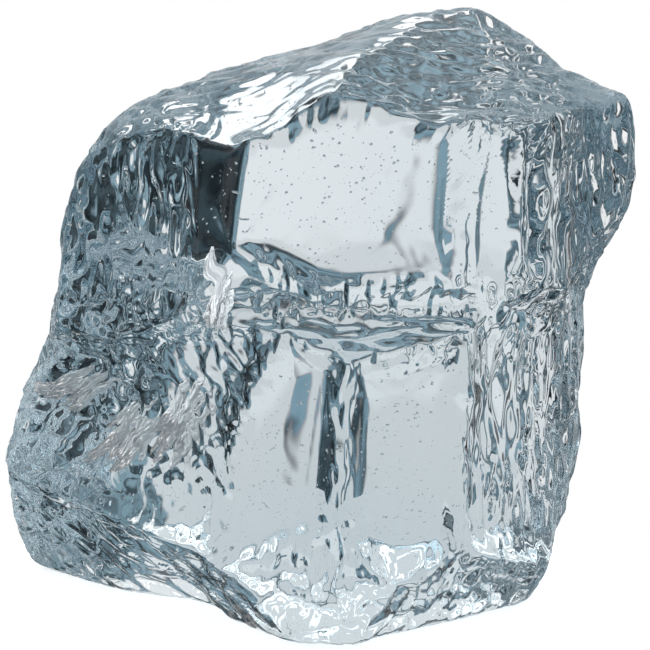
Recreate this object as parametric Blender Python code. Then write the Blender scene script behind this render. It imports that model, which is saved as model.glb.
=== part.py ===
"""A hand-sized chunk of clear ice, chipped from a larger block, standing on a flat base.

The chunk is two lobes, one above the other, that meet in a shallow waist. Each lobe is a set of
broken faces, and most of those are a little hollow, as melting leaves them, with a raised rib where
two hollow faces meet. The surface is where one function of position, built from those faces, is
zero. The vertices of a subdivided cube are moved out from the middle until they lie on it, and the
mesh is then thinned where the surface is nearly flat. Lengths are in metres, +Z is up, and the front
of the chunk faces -Y. The chunk is about 151 mm wide, 100 mm deep and 140 mm high.
"""

from collections import namedtuple
from itertools import combinations

import bmesh
import bpy
import numpy as np

NAME = "ice_block"

MIDDLE = (0.0, -0.002, 0.068)  # every point of the surface can be seen from here
REACH = 0.150  # no point of the surface is further than this from MIDDLE
HALVINGS = 24  # each one halves the error, from REACH down to nothing that matters
CELLS = 90  # cells along each edge of the cube, two triangles in each
FACETS = 7400  # triangles that are left once the smooth parts are thinned

EDGE_ROUNDING = 0.0012  # how far a melted edge is rounded off
WAIST_ROUNDING = 0.0025  # the same for the crease between the lobes
BASE_SLACK = 0.0001  # thinning leaves the base uneven by less than this, and it is levelled again

RIB_HEIGHT = 0.0030  # raised line where two hollow faces meet
RIB_WIDTH = 0.0032

# A face passes through point. Seen from above it looks turn degrees to the right of the front, and
# it leans back by tilt degrees, so that a face with a negative tilt overhangs. It is hollowed by
# depth over a round patch of the given reach, and rib is how much of a rib its edges carry.
Face = namedtuple("Face", "name point turn tilt depth reach rib")

UPPER_LOBE = (
    Face("front", (0.005, -0.034, 0.106), -3, -2, 0.0020, 0.016, 1.0),
    Face("front right", (0.044, -0.0305, 0.100), 22, -3, 0.0020, 0.012, 1.0),
    Face("front far right", (0.061, -0.0168, 0.105), 47, -3, 0.0020, 0.012, 0.6),
    Face("front left", (-0.044, -0.019, 0.097), -30, 3, 0.0020, 0.016, 0.6),
    Face("low front left", (-0.0055, -0.0340, 0.0895), -11, -15, 0.0010, 0.014, 0.8),
    Face("under front", (0.008, -0.031, 0.083), 0, -44, 0.0, 0.010, 0.5),
    Face("under front left", (-0.050, -0.015, 0.067), -36, -40, 0.0, 0.010, 0.5),
    Face("under front right", (0.046, -0.020, 0.076), 30, -43, 0.0, 0.010, 0.5),
    Face("left side", (-0.0655, 0.000, 0.082), -84, 4, 0.0010, 0.016, 0.0),
    Face("left lean", (-0.0595, -0.006, 0.107), -82, 20, 0.0, 0.010, 0.0),
    Face("left top", (-0.0560, -0.010, 0.1175), -80, 50, 0.0, 0.010, 0.0),
    Face("right side", (0.0755, -0.008, 0.108), 86, -3, 0.0010, 0.014, 0.0),
    Face("right back", (0.0740, 0.006, 0.112), 112, -2, 0.0010, 0.014, 0.0),
    Face("under right", (0.0645, -0.004, 0.084), 72, -34, 0.0030, 0.012, 0.0),
    Face("top left", (-0.022, -0.030, 0.1293), -92, 76, 0.0100, 0.013, 0.0),
    Face("top right", (0.022, -0.028, 0.1317), 48, 74, 0.0050, 0.013, 0.0),
    Face("top front left", (-0.044, -0.018, 0.118), -60, 50, 0.0, 0.010, 0.0),
    Face("back", (-0.002, 0.0235, 0.131), -166, 9, 0.0050, 0.009, 0.0),
    Face("back mid left", (-0.030, 0.0130, 0.123), -149, 12, 0.0010, 0.016, 0.0),
    Face("back left", (-0.055, 0.002, 0.120), -131, 16, 0.0020, 0.018, 0.0),
    Face("back right", (0.0625, 0.0075, 0.131), 135, 9, 0.0065, 0.009, 0.0),
)

LOWER_LOBE = (
    Face("front left", (-0.016, -0.040, 0.050), -17, 7, 0.0020, 0.018, 1.0),
    Face("front right", (0.022, -0.0398, 0.050), 18, 5, 0.0020, 0.018, 1.0),
    Face("top front", (0.004, -0.037, 0.0755), 8, 50, 0.0, 0.010, 0.6),
    Face("top front left", (-0.032, -0.030, 0.070), -34, 44, 0.0, 0.010, 0.6),
    Face("left shoulder", (-0.0692, -0.004, 0.055), -82, 27, 0.0010, 0.014, 0.0),
    Face("top left", (-0.058, -0.008, 0.066), -60, 44, 0.0020, 0.014, 0.5),
    Face("left front", (-0.046, -0.0215, 0.045), -34, 12, 0.0025, 0.016, 0.8),
    Face("left side", (-0.0775, 0.008, 0.034), -88, 3, 0.0010, 0.016, 0.0),
    Face("left foot", (-0.0775, 0.010, 0.014), -84, -18, 0.0, 0.010, 0.0),
    Face("right front", (0.047, -0.0182, 0.045), 50, 2, 0.0020, 0.016, 0.8),
    Face("right side", (0.0628, 0.008, 0.050), 84, -3, 0.0010, 0.016, 0.0),
    Face("right foot", (0.0592, 0.008, 0.021), 82, -18, 0.0010, 0.016, 0.0),
    Face("right shoulder", (0.0605, 0.000, 0.067), 78, 22, 0.0010, 0.012, 0.0),
    Face("front left foot", (-0.0350, -0.0130, 0.000), -42, -32, 0.0060, 0.010, 0.5),
    Face("front right foot", (0.0155, -0.0340, 0.000), 38, -28, 0.0015, 0.012, 0.5),
    Face("front foot", (0.003, -0.0390, 0.000), -6, -14, 0.0, 0.010, 0.3),
    Face("back", (0.002, 0.044, 0.045), 180, 6, 0.0010, 0.020, 0.0),
    Face("back left", (-0.035, 0.046, 0.045), -140, 12, 0.0020, 0.018, 0.0),
    Face("back right", (0.036, 0.043, 0.042), 132, -2, 0.0020, 0.018, 0.0),
    Face("top back", (0.000, 0.036, 0.069), 180, 48, 0.0, 0.018, 0.0),
)


def clear_scene():
    for item in list(bpy.data.objects):
        bpy.data.objects.remove(item, do_unlink=True)


def outward(face):
    """Unit vector that the face looks along."""
    turn, tilt = np.radians(face.turn), np.radians(face.tilt)
    return np.array(
        [np.sin(turn) * np.cos(tilt), -np.cos(turn) * np.cos(tilt), np.sin(tilt)]
    )


def height_over(face, points):
    """How far the points stand out from the face, with its hollow taken in."""
    away = points - np.array(face.point)
    out = away @ outward(face)
    across = (away**2).sum(axis=-1) - out**2
    return out + face.depth * np.exp(-across / (2 * face.reach**2))


def rounded_max(heights, rounding):
    top = heights.max(axis=0)
    return top + rounding * np.log(np.exp((heights - top) / rounding).sum(axis=0))


def rib_over(lobe, heights):
    """Height of the raised line along each edge that two hollow faces share."""
    top = heights.max(axis=0)
    tallest = np.zeros_like(top)
    ribbed = [number for number, face in enumerate(lobe) if face.rib]
    for first, second in combinations(ribbed, 2):
        share = np.sqrt(lobe[first].rib * lobe[second].rib)
        turned = np.linalg.norm(outward(lobe[first]) - outward(lobe[second]))
        from_edge = (heights[first] - heights[second]) / turned / RIB_WIDTH
        buried = (top - np.maximum(heights[first], heights[second])) / RIB_WIDTH
        tallest = np.maximum(tallest, share * np.exp(-(from_edge**2) / 2 - buried))
    return RIB_HEIGHT * tallest


def lobe_over(lobe, points):
    heights = np.stack([height_over(face, points) for face in lobe])
    return rounded_max(heights, EDGE_ROUNDING) - rib_over(lobe, heights)


def outside(points):
    """Negative inside the ice, zero on its surface and positive outside."""
    lobes = np.stack([lobe_over(UPPER_LOBE, points), lobe_over(LOWER_LOBE, points)])
    joined = -rounded_max(-lobes, WAIST_ROUNDING)
    return rounded_max(np.stack([joined, -points[:, 2]]), EDGE_ROUNDING)


def surface_points(directions):
    """The point of the surface in each direction from the middle, by halving the interval."""
    near = np.zeros(len(directions))
    far = np.full(len(directions), REACH)
    for _ in range(HALVINGS):
        half = (near + far) / 2
        inside = outside(np.array(MIDDLE) + half[:, None] * directions) < 0
        near = np.where(inside, half, near)
        far = np.where(inside, far, half)
    return np.array(MIDDLE) + far[:, None] * directions


def centred(points):
    """The points with the middle of their bounding box over the origin."""
    middle = (points.min(axis=0) + points.max(axis=0)) / 2
    return points - [middle[0], middle[1], 0]


def chunk_mesh(cells):
    """A cube of cells x cells squares on each side, moved out to the surface."""
    shape = bmesh.new()
    bmesh.ops.create_cube(shape, size=2)
    bmesh.ops.subdivide_edges(shape, edges=shape.edges[:], cuts=cells - 1, use_grid_fill=True)
    bmesh.ops.triangulate(shape, faces=shape.faces[:])
    corners = np.tan(np.array([vertex.co for vertex in shape.verts]) * np.pi / 4)
    directions = corners / np.linalg.norm(corners, axis=1)[:, None]
    for vertex, point in zip(shape.verts, centred(surface_points(directions))):
        vertex.co = point
    bmesh.ops.recalc_face_normals(shape, faces=shape.faces[:])
    mesh = bpy.data.meshes.new("fine " + NAME)
    shape.to_mesh(mesh)
    shape.free()
    return mesh


def thinned(fine):
    """The same surface in FACETS triangles: few where it is nearly flat, more along ribs and edges."""
    item = bpy.data.objects.new(NAME, fine)
    bpy.context.scene.collection.objects.link(item)
    item.modifiers.new("thin", "DECIMATE").ratio = FACETS / len(fine.polygons)
    graph = bpy.context.evaluated_depsgraph_get()
    mesh = bpy.data.meshes.new_from_object(item.evaluated_get(graph))
    bpy.data.objects.remove(item)
    mesh.name = NAME
    for vertex in mesh.vertices:
        if vertex.co.z < BASE_SLACK:
            vertex.co.z = 0
    return mesh


def clear_ice():
    material = bpy.data.materials.new("clear ice")
    material.use_nodes = True
    principled = material.node_tree.nodes["Principled BSDF"]
    principled.inputs["Base Color"].default_value = (0.93, 0.96, 0.98, 1)
    principled.inputs["Roughness"].default_value = 0.02
    principled.inputs["Metallic"].default_value = 0
    principled.inputs["IOR"].default_value = 1.31
    principled.inputs["Transmission Weight"].default_value = 1
    return material


def main():
    clear_scene()
    collection = bpy.data.collections.new(NAME)
    bpy.context.scene.collection.children.link(collection)
    block = bpy.data.objects.new(NAME, thinned(chunk_mesh(CELLS)))
    block.data.materials.append(clear_ice())
    collection.objects.link(block)


if __name__ == "__main__":
    main()
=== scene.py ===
# Clear ice block: a rippled, see-through body with trapped air bubbles and cracks, in a pale studio.
import math
from collections import namedtuple
from itertools import combinations

import bmesh
import bpy
import numpy as np
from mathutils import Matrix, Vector


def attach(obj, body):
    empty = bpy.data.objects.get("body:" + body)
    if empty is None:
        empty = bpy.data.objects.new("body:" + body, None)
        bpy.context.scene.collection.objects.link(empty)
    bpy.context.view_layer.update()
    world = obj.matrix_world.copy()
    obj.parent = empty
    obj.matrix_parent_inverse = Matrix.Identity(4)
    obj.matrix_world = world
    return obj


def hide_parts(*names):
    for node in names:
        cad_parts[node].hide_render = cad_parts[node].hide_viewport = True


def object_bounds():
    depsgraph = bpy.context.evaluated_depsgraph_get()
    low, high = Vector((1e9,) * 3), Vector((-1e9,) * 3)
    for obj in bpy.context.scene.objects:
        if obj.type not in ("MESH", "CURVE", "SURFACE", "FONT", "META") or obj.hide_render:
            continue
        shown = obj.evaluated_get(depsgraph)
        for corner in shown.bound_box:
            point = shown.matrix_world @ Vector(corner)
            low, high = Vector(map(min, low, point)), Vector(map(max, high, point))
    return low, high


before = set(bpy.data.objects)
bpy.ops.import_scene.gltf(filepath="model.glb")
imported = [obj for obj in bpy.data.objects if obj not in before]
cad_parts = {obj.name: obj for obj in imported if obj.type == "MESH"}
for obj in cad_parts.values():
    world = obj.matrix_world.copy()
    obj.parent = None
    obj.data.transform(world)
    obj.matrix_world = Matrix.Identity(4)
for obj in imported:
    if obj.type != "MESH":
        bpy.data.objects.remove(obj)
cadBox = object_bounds()

sceneRoot = bpy.context.scene


def keepObject(name, mesh):
    item = bpy.data.objects.new(name, mesh)
    sceneRoot.collection.objects.link(item)
    return item


# inputs are given by name, or by number as n0, n1 and so on, each a value or a socket to link
def addNode(tree, kind, settings=None, **inputs):
    node = tree.nodes.new(kind)
    for name, value in (settings or {}).items():
        setattr(node, name, value)
    for name, value in inputs.items():
        numbered = name[0] == "n" and name[1:].isdigit()
        socket = node.inputs[int(name[1:]) if numbered else name.replace("_", " ")]
        if isinstance(value, bpy.types.NodeSocket):
            tree.links.new(value, socket)
        else:
            socket.default_value = value
    return node


def addMath(tree, operation, first, second=0.0):
    return addNode(tree, "ShaderNodeMath", {"operation": operation}, n0=first, n1=second).outputs[0]


def multiply(tree, first, second):
    return addMath(tree, "MULTIPLY", first, second)


def remap(tree, value, low, high, toLow=0.0, toHigh=1.0):
    node = addNode(tree, "ShaderNodeMapRange", {"interpolation_type": "SMOOTHSTEP"}, n0=value)
    node.inputs["From Min"].default_value = low
    node.inputs["From Max"].default_value = high
    node.inputs["To Min"].default_value = toLow
    node.inputs["To Max"].default_value = toHigh
    return node.outputs["Result"]


def blendValue(tree, first, second, share):
    return addNode(tree, "ShaderNodeMix", {"data_type": "FLOAT"}, n0=share, n2=first, n3=second).outputs[0]


def blendTone(tree, share, first, second):
    node = addNode(tree, "ShaderNodeMix", {"data_type": "RGBA"}, n0=share)
    for socket, tone in ((node.inputs["A"], first), (node.inputs["B"], second)):
        if isinstance(tone, bpy.types.NodeSocket):
            tree.links.new(tone, socket)
        else:
            socket.default_value = (*tone, 1)
    return node.outputs["Result"]


# a face passes through point, looks turn degrees right of the front and leans back by tilt,
# is hollowed by depth over a patch of reach, and carries rib along its edges; calm 1 is smooth
Face = namedtuple("Face", "name point turn tilt depth reach rib calm")

upperLobe = (
    Face("front", (0.005, -0.034, 0.106), -3, -2, 0.0020, 0.016, 1.0, 1.0),
    Face("front right", (0.044, -0.0305, 0.100), 22, -3, 0.0020, 0.012, 1.0, 1.0),
    Face("front far right", (0.061, -0.0168, 0.105), 47, -3, 0.0020, 0.012, 0.6, 0.2),
    Face("front left", (-0.044, -0.019, 0.097), -30, 3, 0.0020, 0.016, 0.6, 0.2),
    Face("low front left", (-0.0055, -0.0340, 0.0895), -11, -15, 0.0010, 0.014, 0.8, 1.0),
    Face("under front", (0.008, -0.031, 0.083), 0, -44, 0.0, 0.010, 0.5, 0.0),
    Face("under front left", (-0.050, -0.015, 0.067), -36, -40, 0.0, 0.010, 0.5, 0.0),
    Face("under front right", (0.046, -0.020, 0.076), 30, -43, 0.0, 0.010, 0.5, 0.0),
    Face("left side", (-0.0655, 0.000, 0.082), -84, 4, 0.0010, 0.016, 0.0, 0.0),
    Face("left lean", (-0.0595, -0.006, 0.107), -82, 20, 0.0, 0.010, 0.0, 0.0),
    Face("left top", (-0.0560, -0.010, 0.1175), -80, 50, 0.0, 0.010, 0.0, 0.2),
    Face("right side", (0.0755, -0.008, 0.108), 86, -3, 0.0010, 0.014, 0.0, 0.0),
    Face("right back", (0.0740, 0.006, 0.112), 112, -2, 0.0010, 0.014, 0.0, 0.0),
    Face("under right", (0.0645, -0.004, 0.084), 72, -34, 0.0030, 0.012, 0.0, 0.0),
    Face("top left", (-0.022, -0.030, 0.1293), -92, 76, 0.0100, 0.013, 0.0, 0.6),
    Face("top right", (0.022, -0.028, 0.1317), 48, 74, 0.0050, 0.013, 0.0, 0.0),
    Face("top front left", (-0.044, -0.018, 0.118), -60, 50, 0.0, 0.010, 0.0, 0.5),
    Face("back", (-0.002, 0.0235, 0.131), -166, 9, 0.0050, 0.009, 0.0, 1.0),
    Face("back mid left", (-0.030, 0.0130, 0.123), -149, 12, 0.0010, 0.016, 0.0, 0.5),
    Face("back left", (-0.055, 0.002, 0.120), -131, 16, 0.0020, 0.018, 0.0, 0.0),
    Face("back right", (0.0625, 0.0075, 0.131), 135, 9, 0.0065, 0.009, 0.0, 0.0),
)

lowerLobe = (
    Face("front left", (-0.016, -0.040, 0.050), -17, 7, 0.0020, 0.018, 1.0, 1.0),
    Face("front right", (0.022, -0.0398, 0.050), 18, 5, 0.0020, 0.018, 1.0, 1.0),
    Face("top front", (0.004, -0.037, 0.0755), 8, 50, 0.0, 0.010, 0.6, 0.0),
    Face("top front left", (-0.032, -0.030, 0.070), -34, 44, 0.0, 0.010, 0.6, 0.0),
    Face("left shoulder", (-0.0692, -0.004, 0.055), -82, 27, 0.0010, 0.014, 0.0, 0.1),
    Face("top left", (-0.058, -0.008, 0.066), -60, 44, 0.0020, 0.014, 0.5, 0.2),
    Face("left front", (-0.046, -0.0215, 0.045), -34, 12, 0.0025, 0.016, 0.8, 0.3),
    Face("left side", (-0.0775, 0.008, 0.034), -88, 3, 0.0010, 0.016, 0.0, 0.0),
    Face("left foot", (-0.0775, 0.010, 0.014), -84, -18, 0.0, 0.010, 0.0, 0.0),
    Face("right front", (0.047, -0.0182, 0.045), 50, 2, 0.0020, 0.016, 0.8, 0.2),
    Face("right side", (0.0628, 0.008, 0.050), 84, -3, 0.0010, 0.016, 0.0, 0.0),
    Face("right foot", (0.0592, 0.008, 0.021), 82, -18, 0.0010, 0.016, 0.0, 0.0),
    Face("right shoulder", (0.0605, 0.000, 0.067), 78, 22, 0.0010, 0.012, 0.0, 0.0),
    Face("front left foot", (-0.0350, -0.0130, 0.000), -42, -32, 0.0060, 0.010, 0.5, 0.0),
    Face("front right foot", (0.0155, -0.0340, 0.000), 38, -28, 0.0015, 0.012, 0.5, 0.0),
    Face("front foot", (0.003, -0.0390, 0.000), -6, -14, 0.0, 0.010, 0.3, 0.0),
    Face("back", (0.002, 0.044, 0.045), 180, 6, 0.0010, 0.020, 0.0, 1.0),
    Face("back left", (-0.035, 0.046, 0.045), -140, 12, 0.0020, 0.018, 0.0, 0.0),
    Face("back right", (0.036, 0.043, 0.042), 132, -2, 0.0020, 0.018, 0.0, 0.0),
    Face("top back", (0.000, 0.036, 0.069), 180, 48, 0.0, 0.018, 0.0, 0.0),
)

body = {
    "middle": (0.0, -0.002, 0.068),  # every point of the surface can be seen from here
    "reach": 0.150,
    "halvings": 22,
    "cells": 120,  # along each edge of the cube that is moved out to the surface
    "edgeRounding": 0.0016,
    "waistRounding": 0.0025,
    "ribHeight": 0.0030,
    "ribWidth": 0.0032,
    "inset": 0.0002,  # keeps the finished surface inside the plain solid's box
    "footFade": 0.004,  # ripples reach their full height this far above the floor
    "rimFade": 0.006,  # hollows of the underside reach theirs this far in from its rim
    "flatBelow": 0.0006,
}

# where the ice is smooth; a patch goes from left to right and from low to high
smoothing = {
    "edge": (0.0015, 0.0045),  # ripples fade over this distance in from a ribbed edge
    "crispEdge": 0.0025,  # ripples are lower than elsewhere within this distance of an edge
    "crispShare": 0.65,
    "waistTurn": 0.9,  # how sharply the two lobes turn where they meet
    "fade": 0.0028,
    "behind": 0.010,
    "backPatches": ((-0.024, 0.0355, 0.066, 0.125), (-0.034, 0.034, -0.010, 0.050)),
    "frontPatches": ((-0.029, -0.018, 0.080, 0.122),),
}


def outward(face):
    turn, tilt = math.radians(face.turn), math.radians(face.tilt)
    return np.array([math.sin(turn) * math.cos(tilt), -math.cos(turn) * math.cos(tilt), math.sin(tilt)])


def heightOver(face, points):
    away = points - np.array(face.point)
    out = away @ outward(face)
    across = (away**2).sum(axis=-1) - out**2
    return out + face.depth * np.exp(-across / (2 * face.reach**2))


def roundedMax(heights, rounding):
    top = heights.max(axis=0)
    return top + rounding * np.log(np.exp((heights - top) / rounding).sum(axis=0))


def ribOver(lobe, heights):
    top = heights.max(axis=0)
    tallest = np.zeros_like(top)
    ribbed = [number for number, face in enumerate(lobe) if face.rib]
    for first, second in combinations(ribbed, 2):
        share = math.sqrt(lobe[first].rib * lobe[second].rib)
        turned = np.linalg.norm(outward(lobe[first]) - outward(lobe[second]))
        fromEdge = (heights[first] - heights[second]) / turned / body["ribWidth"]
        buried = (top - np.maximum(heights[first], heights[second])) / body["ribWidth"]
        tallest = np.maximum(tallest, share * np.exp(-(fromEdge**2) / 2 - buried))
    return body["ribHeight"] * tallest


def lobeOver(lobe, points):
    heights = np.stack([heightOver(face, points) for face in lobe])
    return roundedMax(heights, body["edgeRounding"]) - ribOver(lobe, heights)


def outsideLobes(points):
    lobes = np.stack([lobeOver(upperLobe, points), lobeOver(lowerLobe, points)])
    return -roundedMax(-lobes, body["waistRounding"]) + body["inset"]


def outside(points):
    return roundedMax(np.stack([outsideLobes(points), -points[:, 2]]), body["edgeRounding"])


def surfacePoints(directions):
    middle = np.array(body["middle"])
    near = np.zeros(len(directions))
    far = np.full(len(directions), body["reach"])
    for _ in range(body["halvings"]):
        half = (near + far) / 2
        inside = outside(middle + half[:, None] * directions) < 0
        near = np.where(inside, half, near)
        far = np.where(inside, far, half)
    return middle + far[:, None] * directions


def softStep(value, low, high):
    step = np.clip((value - low) / (high - low), 0, 1)
    return step * step * (3 - 2 * step)


# how smooth a lobe's nearest face is at each point, and how much its ripples sink near an edge
def faceCalm(lobe, own, other, points):
    heights = np.stack([heightOver(face, points) for face in lobe])
    order = np.argsort(heights, axis=0)
    first, second = order[-1], order[-2]
    outs = np.array([outward(face) for face in lobe])
    turned = np.linalg.norm(outs[first] - outs[second], axis=-1)
    top = np.take_along_axis(heights, order[-1:], axis=0)[0]
    nextTop = np.take_along_axis(heights, order[-2:-1], axis=0)[0]
    fromEdge = np.minimum((top - nextTop) / turned, np.abs(own - other) / smoothing["waistTurn"])
    calms = np.array([face.calm for face in lobe])
    calm = calms[first] * softStep(fromEdge, *smoothing["edge"])
    beside = np.maximum(calms[first], calms[second]) < 1
    lowered = smoothing["crispShare"] * (1 - softStep(fromEdge, 0, smoothing["crispEdge"]))
    return calm, 1 - np.where(beside, lowered, 0)


def patchCalm(patches, points, side):
    x, z = points[:, 0], points[:, 2]
    fade = smoothing["fade"]
    calm = np.zeros(len(points))
    for left, right, low, high in patches:
        across = softStep(x, left - fade, left) * (1 - softStep(x, right, right + fade))
        up = softStep(z, low - fade, low) * (1 - softStep(z, high, high + fade))
        calm = np.maximum(calm, across * up * side)
    return calm


# 1 where the ice is fully rippled, 0 where it is smooth
def roughOf(points):
    upper, lower = lobeOver(upperLobe, points), lobeOver(lowerLobe, points)
    upperCalm, upperCrisp = faceCalm(upperLobe, upper, lower, points)
    lowerCalm, lowerCrisp = faceCalm(lowerLobe, lower, upper, points)
    calm = np.where(upper < lower, upperCalm, lowerCalm)
    calm = np.maximum(calm, patchCalm(smoothing["backPatches"], points, points[:, 1] > smoothing["behind"]))
    calm = np.maximum(calm, patchCalm(smoothing["frontPatches"], points, points[:, 1] < 0))
    return (1 - calm) * np.where(upper < lower, upperCrisp, lowerCrisp)


# the block is centred over the origin, and the second result is how far it moved for that
def makeBody():
    shape = bmesh.new()
    bmesh.ops.create_cube(shape, size=2)
    bmesh.ops.subdivide_edges(shape, edges=shape.edges[:], cuts=body["cells"] - 1, use_grid_fill=True)
    corners = np.tan(np.array([vertex.co for vertex in shape.verts]) * math.pi / 4)
    directions = corners / np.linalg.norm(corners, axis=1)[:, None]
    points = surfacePoints(directions)
    rough = roughOf(points) * np.clip(points[:, 2] / body["footFade"], 0, 1)
    inFromRim = np.clip(-outsideLobes(points) / body["rimFade"], 0, 1)
    under = np.where(points[:, 2] < body["flatBelow"], inFromRim, 0)
    middle = (points.min(axis=0) + points.max(axis=0)) / 2
    moved = np.array([middle[0], middle[1], 0])
    for vertex, point in zip(shape.verts, points - moved):
        vertex.co = point
    bmesh.ops.recalc_face_normals(shape, faces=shape.faces[:])
    mesh = bpy.data.meshes.new("iceBody")
    shape.to_mesh(mesh)
    shape.free()
    mesh.attributes.new("rough", "FLOAT", "POINT").data.foreach_set("value", rough)
    mesh.attributes.new("under", "FLOAT", "POINT").data.foreach_set("value", under)
    mesh.shade_smooth()
    return keepObject("iceBody", mesh), moved


# a node tree with geometry in and out, a named number for each size and any other inputs
def startTree(name, sizes, others=()):
    tree = bpy.data.node_groups.new(name, "GeometryNodeTree")
    face = tree.interface
    face.new_socket(name="Geometry", in_out="INPUT", socket_type="NodeSocketGeometry")
    for socket, kind in (*others, *((size, "NodeSocketFloat") for size in sizes)):
        face.new_socket(name=socket, in_out="INPUT", socket_type=kind)
    face.new_socket(name="Geometry", in_out="OUTPUT", socket_type="NodeSocketGeometry")
    return tree, addNode(tree, "NodeGroupInput").outputs


def finishTree(tree, geometry, material):
    real = addNode(tree, "GeometryNodeRealizeInstances", Geometry=geometry).outputs[0]
    painted = addNode(tree, "GeometryNodeSetMaterial", Geometry=real, Material=material).outputs[0]
    tree.links.new(painted, addNode(tree, "NodeGroupOutput").inputs[0])
    return tree


def applyNodes(item, tree, values):
    modifier = item.modifiers.new(tree.name, "NODES")
    modifier.node_group = tree
    for socket in tree.interface.items_tree:
        if socket.in_out == "INPUT" and socket.name in values:
            modifier[socket.identifier] = values[socket.name]
    evaluated = item.evaluated_get(bpy.context.evaluated_depsgraph_get())
    mesh = bpy.data.meshes.new_from_object(evaluated)
    item.modifiers.clear()
    old = item.data
    item.data = mesh
    bpy.data.meshes.remove(old)
    mesh.name = item.name


# gives each point of a mesh the place that change works out from its old one
def movePoints(mesh, change):
    points = np.empty(len(mesh.vertices) * 3)
    mesh.vertices.foreach_get("co", points)
    mesh.vertices.foreach_set("co", change(points.reshape(-1, 3)).ravel())
    mesh.update()


# keeps the finished surface inside the plain solid's box, and the base level
def insideBox(points):
    return np.clip(points, np.array(cadBox[0]), np.array(cadBox[1]))


ripples = {
    "broadSize": 0.016,
    "broadHeight": 0.0014,
    "broadCalm": 0.10,  # share of the broad swell left on the calm faces
    "flowAcross": 0.0040,
    "flowAlong": 0.0160,
    "flowHeight": 0.0014,
    "slant": 0.75,  # turn of the flow on the low left of the front, in radians
    "underSize": 0.010,
    "underHeight": 0.0020,
    "sink": 0.0006,  # the rippled faces are lowered by this first
    "warp": 1.3,
}

# where the flow is slanted, up to these x and z, and where it is level, by how far a face looks up
flowZones = {
    "slantedLeft": (-0.020, -0.008),
    "slantedLow": (0.066, 0.080),
    "level": (0.5, 0.8),
}


def rippleTree(material):
    tree, given = startTree("iceRipples", ripples)
    place = addNode(tree, "GeometryNodeInputPosition").outputs[0]
    normal = addNode(tree, "GeometryNodeInputNormal").outputs[0]
    across = addNode(tree, "ShaderNodeSeparateXYZ", n0=place).outputs
    facing = addNode(tree, "ShaderNodeSeparateXYZ", n0=normal).outputs

    def mask(name):
        kind = {"data_type": "FLOAT"}
        return addNode(tree, "GeometryNodeInputNamedAttribute", kind, Name=name).outputs["Attribute"]

    def layer(sizes, height, shift, detail, turn=None):
        shifts = (shift, shift * 2, -shift)
        at = addNode(tree, "ShaderNodeVectorMath", {"operation": "ADD"}, n0=place, n1=shifts).outputs[0]
        if turn is not None:
            about = {"rotation_type": "Y_AXIS"}
            at = addNode(tree, "ShaderNodeVectorRotate", about, Vector=at, Angle=turn).outputs[0]
        size = addNode(tree, "ShaderNodeCombineXYZ", n0=sizes[0], n1=sizes[1], n2=sizes[2]).outputs[0]
        at = addNode(tree, "ShaderNodeVectorMath", {"operation": "DIVIDE"}, n0=at, n1=size).outputs[0]
        bent = {"Scale": 1.0, "Detail": detail, "Distortion": given["warp"]}
        noise = addNode(tree, "ShaderNodeTexNoise", Vector=at, **bent).outputs[0]
        return multiply(tree, addMath(tree, "SUBTRACT", noise, 0.5), multiply(tree, height, 2.0))

    rough = mask("rough")
    thin, long, lift = given["flowAcross"], given["flowAlong"], given["flowHeight"]
    broad = layer([given["broadSize"]] * 3, given["broadHeight"], 0.31, 1.0)
    upright = layer((thin, thin, long), lift, 0.57, 0.0)
    slanted = layer((thin, thin, long), lift, 0.83, 0.0, given["slant"])
    level = layer((long, thin, thin), lift, 0.41, 0.0)
    left = remap(tree, across[0], *flowZones["slantedLeft"], 1, 0)
    lowLeft = multiply(tree, left, remap(tree, across[2], *flowZones["slantedLow"], 1, 0))
    topped = remap(tree, facing[2], *flowZones["level"])

    flow = blendValue(tree, blendValue(tree, upright, slanted, lowLeft), level, topped)
    swell = multiply(tree, broad, addMath(tree, "MAXIMUM", rough, given["broadCalm"]))
    total = addMath(tree, "ADD", swell, multiply(tree, flow, rough))
    total = addMath(tree, "SUBTRACT", total, multiply(tree, rough, given["sink"]))
    below = layer([given["underSize"]] * 3, given["underHeight"], 0.19, 1.0)
    below = addMath(tree, "ADD", below, multiply(tree, given["underHeight"], 0.5))
    below = multiply(tree, addMath(tree, "MAXIMUM", below, 0.0), mask("under"))
    total = addMath(tree, "SUBTRACT", total, below)
    push = addNode(tree, "ShaderNodeVectorMath", {"operation": "SCALE"}, n0=normal, Scale=total).outputs[0]
    moved = addNode(tree, "GeometryNodeSetPosition", Geometry=given["Geometry"], Offset=push).outputs[0]
    return finishTree(tree, moved, material)


ice = {
    "ior": 1.31,
    "absorb": (0.22, 0.42, 0.51),
    "density": 6.5,
}


def clearIce():
    material = bpy.data.materials.new("clearIce")
    material.use_nodes = True
    tree = material.node_tree
    shader = tree.nodes["Principled BSDF"]
    shader.inputs["Base Color"].default_value = (1, 1, 1, 1)
    shader.inputs["Roughness"].default_value = 0.0
    shader.inputs["IOR"].default_value = ice["ior"]
    shader.inputs["Transmission Weight"].default_value = 1.0
    absorb = addNode(tree, "ShaderNodeVolumeAbsorption")
    absorb.inputs["Color"].default_value = (*ice["absorb"], 1)
    absorb.inputs["Density"].default_value = ice["density"]
    tree.links.new(absorb.outputs[0], tree.nodes["Material Output"].inputs["Volume"])
    return material


bubbles = {
    "tries": 15000,
    "tryBox": ((-0.08, -0.05, 0.0), (0.08, 0.05, 0.14)),
    "smallest": 0.00008,
    "largest": 0.00042,
    "skew": 3.0,  # most bubbles are near the smallest size
    "deep": 0.0012,  # none is nearer the surface than this
    "clumpSize": 0.020,
    "clumpLevel": 0.47,
    "ior": 1.5,
}


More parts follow.
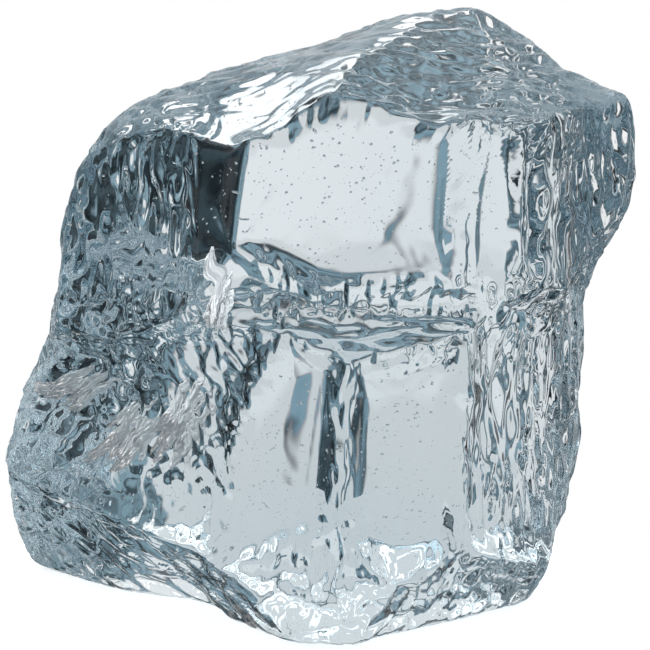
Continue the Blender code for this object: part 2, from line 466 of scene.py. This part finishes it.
def bubbleTree(material):
    sizes = ("smallest", "largest", "skew", "deep", "clumpSize", "clumpLevel")
    others = (("ice", "NodeSocketObject"), ("tries", "NodeSocketInt"))
    tree, given = startTree("iceBubbles", sizes, others)
    shown = addNode(tree, "GeometryNodeObjectInfo", {"transform_space": "RELATIVE"}, Object=given["ice"])
    around = shown.outputs["Geometry"]
    low, high = bubbles["tryBox"]
    vector = {"data_type": "FLOAT_VECTOR"}
    spread = addNode(tree, "FunctionNodeRandomValue", vector, Seed=11, n0=low, n1=high).outputs[0]
    cloud = addNode(tree, "GeometryNodePoints", Count=given["tries"], Position=spread).outputs[0]
    # a point is in the ice if the first face straight above it is seen from its back
    upwards = {"Ray_Direction": (0, 0, 1), "Ray_Length": 1.0}
    cast = addNode(tree, "GeometryNodeRaycast", Target_Geometry=around, **upwards)
    leaving = addNode(tree, "ShaderNodeSeparateXYZ", n0=cast.outputs["Hit Normal"]).outputs[2]
    inside = multiply(tree, cast.outputs["Is Hit"], addMath(tree, "GREATER_THAN", leaving, 0.0))
    near = addNode(tree, "GeometryNodeProximity", n0=around).outputs["Distance"]
    buried = addMath(tree, "GREATER_THAN", near, given["deep"])
    place = addNode(tree, "GeometryNodeInputPosition").outputs[0]
    clumpScale = addMath(tree, "DIVIDE", 1.0, given["clumpSize"])
    clumps = addNode(tree, "ShaderNodeTexNoise", Vector=place, Scale=clumpScale).outputs[0]
    clumped = addMath(tree, "GREATER_THAN", clumps, given["clumpLevel"])
    drop = addMath(tree, "LESS_THAN", multiply(tree, multiply(tree, inside, buried), clumped), 0.5)
    settings = {"domain": "POINT"}
    kept = addNode(tree, "GeometryNodeDeleteGeometry", settings, Geometry=cloud, Selection=drop).outputs[0]
    chance = addNode(tree, "FunctionNodeRandomValue", Seed=5).outputs[1]
    share = addMath(tree, "POWER", chance, given["skew"])
    size = blendValue(tree, given["smallest"], given["largest"], share)
    ball = addNode(tree, "GeometryNodeMeshIcoSphere", Radius=1.0, Subdivisions=1).outputs[0]
    ball = addNode(tree, "GeometryNodeSetShadeSmooth", Geometry=ball).outputs[0]
    balls = addNode(tree, "GeometryNodeInstanceOnPoints", Points=kept, Instance=ball, Scale=size).outputs[0]
    return finishTree(tree, balls, material)


def airBubble():
    material = bpy.data.materials.new("airBubble")
    material.use_nodes = True
    shader = material.node_tree.nodes["Principled BSDF"]
    shader.inputs["Base Color"].default_value = (1, 1, 1, 1)
    shader.inputs["Roughness"].default_value = 0.0
    shader.inputs["IOR"].default_value = bubbles["ior"]
    shader.inputs["Transmission Weight"].default_value = 1.0
    return material


# silvery cracks: middle of each patch, its half widths, lean in degrees and how many leaves
feathers = {
    "patches": (
        ((-0.031, -0.0205, 0.0500), (0.004, 0.0015, 0.005), 38, 18),
        ((-0.043, -0.0135, 0.0450), (0.005, 0.0015, 0.005), 46, 18),
        ((-0.057, -0.0050, 0.0530), (0.006, 0.0015, 0.0025), 66, 14),
        ((-0.0220, -0.0190, 0.0805), (0.0018, 0.0015, 0.003), 14, 11),
    ),
    "thin": 0.0003,
    "thick": 0.0015,
    "flat": 0.16,  # thickness of a leaf as a share of its width
    "short": 0.0040,
    "long": 0.0110,
    "pitch": (-0.8, -0.5),
    "scatter": 0.10,
    "fray": 0.0009,
    "grain": (0.0007, 0.0007, 0.005),
    "grainTurn": -0.75,
    "deep": 0.0016,  # each leaf is sunk this far below the faces
    "sinkStep": 0.0004,
    "sinkTries": 60,
    "tone": 0.97,
    "haze": 0.35,
}


def leafPatch(tree, given, number):
    middle, half, lean, count = feathers["patches"][number]
    seed = 10 * number

    def between(step, low, high):
        return addNode(tree, "FunctionNodeRandomValue", Seed=seed + step, n2=low, n3=high).outputs[1]

    low = [at - reach for at, reach in zip(middle, half)]
    high = [at + reach for at, reach in zip(middle, half)]
    vector = {"data_type": "FLOAT_VECTOR"}
    spread = addNode(tree, "FunctionNodeRandomValue", vector, Seed=seed + 1, n0=low, n1=high).outputs[0]
    points = addNode(tree, "GeometryNodePoints", Count=count, Position=spread).outputs[0]
    wide = between(2, given["thin"], given["thick"])
    tall = between(3, given["short"], given["long"])
    size = addNode(tree, "ShaderNodeCombineXYZ", n0=wide, n1=multiply(tree, wide, given["flat"]), n2=tall)
    scattered = multiply(tree, between(4, -1.0, 1.0), given["scatter"])
    swing = addMath(tree, "ADD", scattered, math.radians(lean))
    turned = addNode(tree, "ShaderNodeCombineXYZ", n0=between(5, *feathers["pitch"]), n1=swing)
    leaf = addNode(tree, "GeometryNodeMeshIcoSphere", Radius=1.0, Subdivisions=4).outputs[0]
    leaf = addNode(tree, "GeometryNodeSetShadeSmooth", Geometry=leaf).outputs[0]
    ways = {"Scale": size.outputs[0], "Rotation": turned.outputs[0]}
    return addNode(tree, "GeometryNodeInstanceOnPoints", Points=points, Instance=leaf, **ways).outputs[0]


def featherTree(material):
    sizes = ("thin", "thick", "flat", "short", "long", "scatter", "fray")
    tree, given = startTree("iceFeathers", sizes)
    joined = addNode(tree, "GeometryNodeJoinGeometry")
    for number in range(len(feathers["patches"])):
        tree.links.new(leafPatch(tree, given, number), joined.inputs[0])
    real = addNode(tree, "GeometryNodeRealizeInstances", Geometry=joined.outputs[0]).outputs[0]
    place = addNode(tree, "GeometryNodeInputPosition").outputs[0]
    about = {"rotation_type": "Y_AXIS"}
    grain, turn = feathers["grain"], feathers["grainTurn"]
    at = addNode(tree, "ShaderNodeVectorRotate", about, Vector=place, Angle=turn).outputs[0]
    at = addNode(tree, "ShaderNodeVectorMath", {"operation": "DIVIDE"}, n0=at, n1=grain).outputs[0]
    noise = addNode(tree, "ShaderNodeTexNoise", Vector=at, Scale=1.0, Detail=1.0).outputs["Color"]
    half = (0.5, 0.5, 0.5)
    centred = addNode(tree, "ShaderNodeVectorMath", {"operation": "SUBTRACT"}, n0=noise, n1=half).outputs[0]
    scale = {"operation": "SCALE"}
    push = addNode(tree, "ShaderNodeVectorMath", scale, n0=centred, Scale=given["fray"]).outputs[0]
    frayed = addNode(tree, "GeometryNodeSetPosition", Geometry=real, Offset=push).outputs[0]
    return finishTree(tree, frayed, material)


# moves what would stick out of the front of the ice back in
def sunkIn(points):
    for _ in range(feathers["sinkTries"]):
        shallow = outside(points + centreShift) > -feathers["deep"]
        points[shallow, 1] += feathers["sinkStep"]
    return points


def airCrack():
    material = bpy.data.materials.new("airCrack")
    material.use_nodes = True
    shader = material.node_tree.nodes["Principled BSDF"]
    shader.inputs["Base Color"].default_value = (feathers["tone"], feathers["tone"], feathers["tone"], 1)
    shader.inputs["Roughness"].default_value = feathers["haze"]
    shader.inputs["Metallic"].default_value = 1.0
    return material


# the camera sees a plain floor; the ice sees it glow with painted shade and light, the tones from beyond to
# net: a painted shadow under the block crossed by a painted net of light, a pale strip behind it and
# painted slate shade beside that strip
floorLook = {
    "radius": 0.085,
    "drop": 0.0002,
    "lift": 0.42,
    "haze": 0.7,
    "beyond": (0.85, 0.86, 0.87),
    "beyondMiddle": 0.004,
    "beyondEdge": (0.026, 0.031),  # half width of the pale strip behind the block
    # painted slate shade that the ice shows on both sides of the pale strip
    "aside": (0.13, 0.19, 0.22),
    "asideRange": (0.4, 2.4),
    # painted shadow under the block, darker still in its dark patches
    "beneath": (0.38, 0.50, 0.57),
    "beneathDark": 0.35,
    "footEdge": (0.050, 0.056),
    "patchScale": 90.0,
    "patchDetail": 2.5,
    "patchEdge": (0.35, 0.65),
    "netSize": 0.009,  # of the net of light beneath the block
    "netWidth": 0.09,
    "netBend": (0.008, 0.008, 0),
}


def scaledTone(tone, share):
    return [channel * share for channel in tone]


# painted shadow under the block in dark and pale patches, crossed by a painted net of light
def paintedShadowUnder(tree, place, patches):
    scale = 1 / floorLook["netSize"]
    bend = addNode(tree, "ShaderNodeTexNoise", Vector=place, Scale=scale).outputs["Color"]
    bending, reach = {"operation": "MULTIPLY_ADD"}, floorLook["netBend"]
    bent = addNode(tree, "ShaderNodeVectorMath", bending, n0=bend, n1=reach, n2=place).outputs[0]
    cells = {"feature": "DISTANCE_TO_EDGE"}
    net = addNode(tree, "ShaderNodeTexVoronoi", cells, Vector=bent, Scale=scale).outputs["Distance"]
    lines = remap(tree, net, 0.0, floorLook["netWidth"], 1.0, 0.0)
    dark = scaledTone(floorLook["beneath"], floorLook["beneathDark"])
    return blendTone(tree, lines, blendTone(tree, patches, dark, floorLook["beneath"]), (1, 1, 1))


# a pale strip straight behind the block, and uneven painted slate shade on both sides of it
def paintedShadeBeside(tree, place, patches):
    side = addNode(tree, "ShaderNodeSeparateXYZ", n0=place).outputs[0]
    away = addMath(tree, "ABSOLUTE", addMath(tree, "SUBTRACT", side, floorLook["beyondMiddle"]))
    dark, pale = [scaledTone(floorLook["aside"], share) for share in floorLook["asideRange"]]
    slate = blendTone(tree, patches, dark, pale)
    return blendTone(tree, remap(tree, away, *floorLook["beyondEdge"]), floorLook["beyond"], slate)


def paleFloor():
    material = bpy.data.materials.new("paleFloor")
    material.use_nodes = True
    tree = material.node_tree
    shader = tree.nodes["Principled BSDF"]
    shader.inputs["Roughness"].default_value = floorLook["haze"]
    shader.inputs["Base Color"].default_value = (1, 1, 1, 1)
    shader.inputs["Emission Color"].default_value = (1, 1, 1, 1)
    shader.inputs["Emission Strength"].default_value = floorLook["lift"]
    place = addNode(tree, "ShaderNodeTexCoord").outputs["Object"]
    grain = {"Scale": floorLook["patchScale"], "Detail": floorLook["patchDetail"]}
    noise = addNode(tree, "ShaderNodeTexNoise", Vector=place, **grain).outputs[0]
    patches = remap(tree, noise, *floorLook["patchEdge"])
    away = addNode(tree, "ShaderNodeVectorMath", {"operation": "LENGTH"}, n0=place).outputs["Value"]
    outFromFoot = remap(tree, away, *floorLook["footEdge"])
    tone = blendTone(tree, outFromFoot, paintedShadowUnder(tree, place, patches), paintedShadeBeside(tree, place, patches))
    # rays other than the camera's see the floor glow with this painted shadow, shade and light; the camera
    # sees the plain pale floor
    shown = addNode(tree, "ShaderNodeEmission", Color=tone).outputs[0]
    seen = addNode(tree, "ShaderNodeLightPath").outputs["Is Camera Ray"]
    mix = addNode(tree, "ShaderNodeMixShader", n0=seen, n1=shown, n2=shader.outputs[0]).outputs[0]
    tree.links.new(mix, tree.nodes["Material Output"].inputs["Surface"])
    return material


def makeFloor():
    shape = bmesh.new()
    bmesh.ops.create_circle(shape, cap_ends=True, segments=96, radius=floorLook["radius"])
    bmesh.ops.translate(shape, verts=shape.verts[:], vec=(0, 0, -floorLook["drop"]))
    mesh = bpy.data.meshes.new("floor")
    shape.to_mesh(mesh)
    shape.free()
    mesh.materials.append(paleFloor())
    keepObject("floor", mesh)


# the surroundings that the ice shows, as cards by their height (z of the direction) and their turn
# in radians from straight behind the ice; pairs are where a card's edge starts and ends
room = {
    "sectors": 8.0,
    "ring": 1.0,
    "ringEdge": (0.12, 0.42),
    "ringTop": (0.45, 0.60),
    "ringDim": (-0.34, -0.29),
    "dimShare": 0.86,
    "ringFoot": (-0.48, -0.41),
    "footShare": 0.05,
    "lineFoot": (-0.08, -0.04),  # a dark line at the horizon
    "lineTop": (0.03, 0.08),
    "lineDark": 0.85,
    "front": 0.35,  # share of the cards' light on the viewer's side
    "frontEdge": (-0.3, 0.2),
    "cap": 2.1,
    "capEdge": (0.62, 0.78),
    "lamp": 0.95,  # a narrow card low on the left behind the ice
    "lampTurn": -0.34,
    "lampEdge": (0.05, 0.10),
    "lampTop": (-0.12, -0.08),
    "glow": 1.0,  # the wall above the horizon
    "glowEdge": (0.06, 0.12),
    "step": 1.5,  # a card far down on the right behind the ice, seen through its left top
    "stepTurn": 0.62,
    "stepEdge": (0.30, 0.42),
    "stepTop": (-0.66, -0.58),
    "dark": 0.030,
    "slate": 0.19,
    "darkEdge": (-0.82, -0.38),
    "clutter": 9.0,  # of the uneven dark surroundings
    "clutterEdge": (0.36, 0.66),
    "clutterRange": (0.35, 2.3),
    "tint": (0.68, 1.0, 1.18),
}


def ringTone(tree, wave, height, front):
    foot = remap(tree, height, *room["lineFoot"])
    line = multiply(tree, foot, remap(tree, height, *room["lineTop"], 1.0, 0.0))
    shares = (
        remap(tree, height, *room["ringTop"], 1.0, 0.0),
        remap(tree, height, *room["ringDim"], room["dimShare"], 1.0),
        remap(tree, height, *room["ringFoot"], room["footShare"], 1.0),
        addMath(tree, "SUBTRACT", 1.0, multiply(tree, line, room["lineDark"])),
        front,
    )
    ring = multiply(tree, remap(tree, wave, *room["ringEdge"]), room["ring"])
    for share in shares:
        ring = multiply(tree, ring, share)
    return ring


# a card round a turn, below a height
def lowCard(tree, turn, height, name):
    beside = addMath(tree, "ABSOLUTE", addMath(tree, "SUBTRACT", turn, room[name + "Turn"]))
    across = remap(tree, beside, *room[name + "Edge"], 1.0, 0.0)
    return multiply(tree, across, remap(tree, height, *room[name + "Top"], room[name], 0.0))


def darkTone(tree, way, wave):
    shade = remap(tree, wave, *room["darkEdge"], room["dark"], room["slate"])
    bent = {"Scale": room["clutter"], "Detail": 3.0, "Distortion": 0.6}
    noise = addNode(tree, "ShaderNodeTexNoise", Vector=way, **bent).outputs[0]
    return multiply(tree, shade, remap(tree, noise, *room["clutterEdge"], *room["clutterRange"]))


def roomTone(tree):
    way = addNode(tree, "ShaderNodeTexCoord").outputs["Generated"]
    split = addNode(tree, "ShaderNodeSeparateXYZ", n0=way).outputs
    turn = addMath(tree, "ARCTAN2", split[0], split[1])
    wave = addMath(tree, "COSINE", multiply(tree, turn, room["sectors"]))
    front = remap(tree, split[1], *room["frontEdge"], room["front"], 1.0)
    glow = multiply(tree, remap(tree, split[2], *room["glowEdge"]), room["glow"])
    cards = (
        lowCard(tree, turn, split[2], "lamp"),
        lowCard(tree, turn, split[2], "step"),
        multiply(tree, glow, front),
        multiply(tree, remap(tree, split[2], *room["capEdge"]), room["cap"]),
    )
    value = ringTone(tree, wave, split[2], front)
    for card in cards:
        value = addMath(tree, "MAXIMUM", value, card)
    dark = darkTone(tree, way, wave)
    tones = [addMath(tree, "MAXIMUM", value, multiply(tree, dark, share)) for share in room["tint"]]
    return addNode(tree, "ShaderNodeCombineXYZ", n0=tones[0], n1=tones[1], n2=tones[2]).outputs[0]


# the camera sees plain white round the block
def makeRoom():
    world = bpy.data.worlds.new("studio")
    sceneRoot.world = world
    world.use_nodes = True
    tree = world.node_tree
    lit = tree.nodes["Background"]
    tree.links.new(roomTone(tree), lit.inputs["Color"])
    backdrop = addNode(tree, "ShaderNodeBackground")
    backdrop.inputs["Color"].default_value = (1, 1, 1, 1)
    seen = addNode(tree, "ShaderNodeLightPath").outputs["Is Camera Ray"]
    mix = addNode(tree, "ShaderNodeMixShader", n0=seen, n1=lit.outputs[0], n2=backdrop.outputs[0])
    tree.links.new(mix.outputs[0], tree.nodes["World Output"].inputs["Surface"])


def setBounces():
    sceneRoot.view_settings.view_transform = "Standard"
    sceneRoot.cycles.max_bounces = 24
    sceneRoot.cycles.transmission_bounces = 24
    sceneRoot.cycles.glossy_bounces = 12


camera = {
    "elevation": 15.0,
    "lens": 250.0,
    "sensor": 36.0,
    "aim": (0.0017, 0.0, 0.0676),
    "span": 0.1546,  # metres across the picture at the aim point
}


def makeCamera():
    lift = math.radians(camera["elevation"])
    back = Vector((0, -math.cos(lift), math.sin(lift)))
    item = bpy.data.objects.new("camera", bpy.data.cameras.new("camera"))
    sceneRoot.collection.objects.link(item)
    item.location = Vector(camera["aim"]) + back * camera["span"] * camera["lens"] / camera["sensor"]
    item.rotation_euler = (-back).to_track_quat("-Z", "Y").to_euler()
    item.data.lens = camera["lens"]
    item.data.sensor_width = camera["sensor"]
    item.data.clip_start = 0.01
    sceneRoot.camera = item


print("camera and studio")
makeCamera()
makeFloor()
makeRoom()
setBounces()

print("ice body")
iceBody, centreShift = makeBody()
print("ripples")
applyNodes(iceBody, rippleTree(clearIce()), ripples)
movePoints(iceBody.data, insideBox)
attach(iceBody, "root")
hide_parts("ice_block")

print("air bubbles")
airBubbles = keepObject("airBubbles", bpy.data.meshes.new("airBubbles"))
applyNodes(airBubbles, bubbleTree(airBubble()), {**bubbles, "ice": iceBody})
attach(airBubbles, "root")
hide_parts("ice_block")
print(len(airBubbles.data.polygons), "bubble faces")

print("air cracks")
airCracks = keepObject("airCracks", bpy.data.meshes.new("airCracks"))
applyNodes(airCracks, featherTree(airCrack()), feathers)
movePoints(airCracks.data, sunkIn)
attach(airCracks, "root")
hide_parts("ice_block")
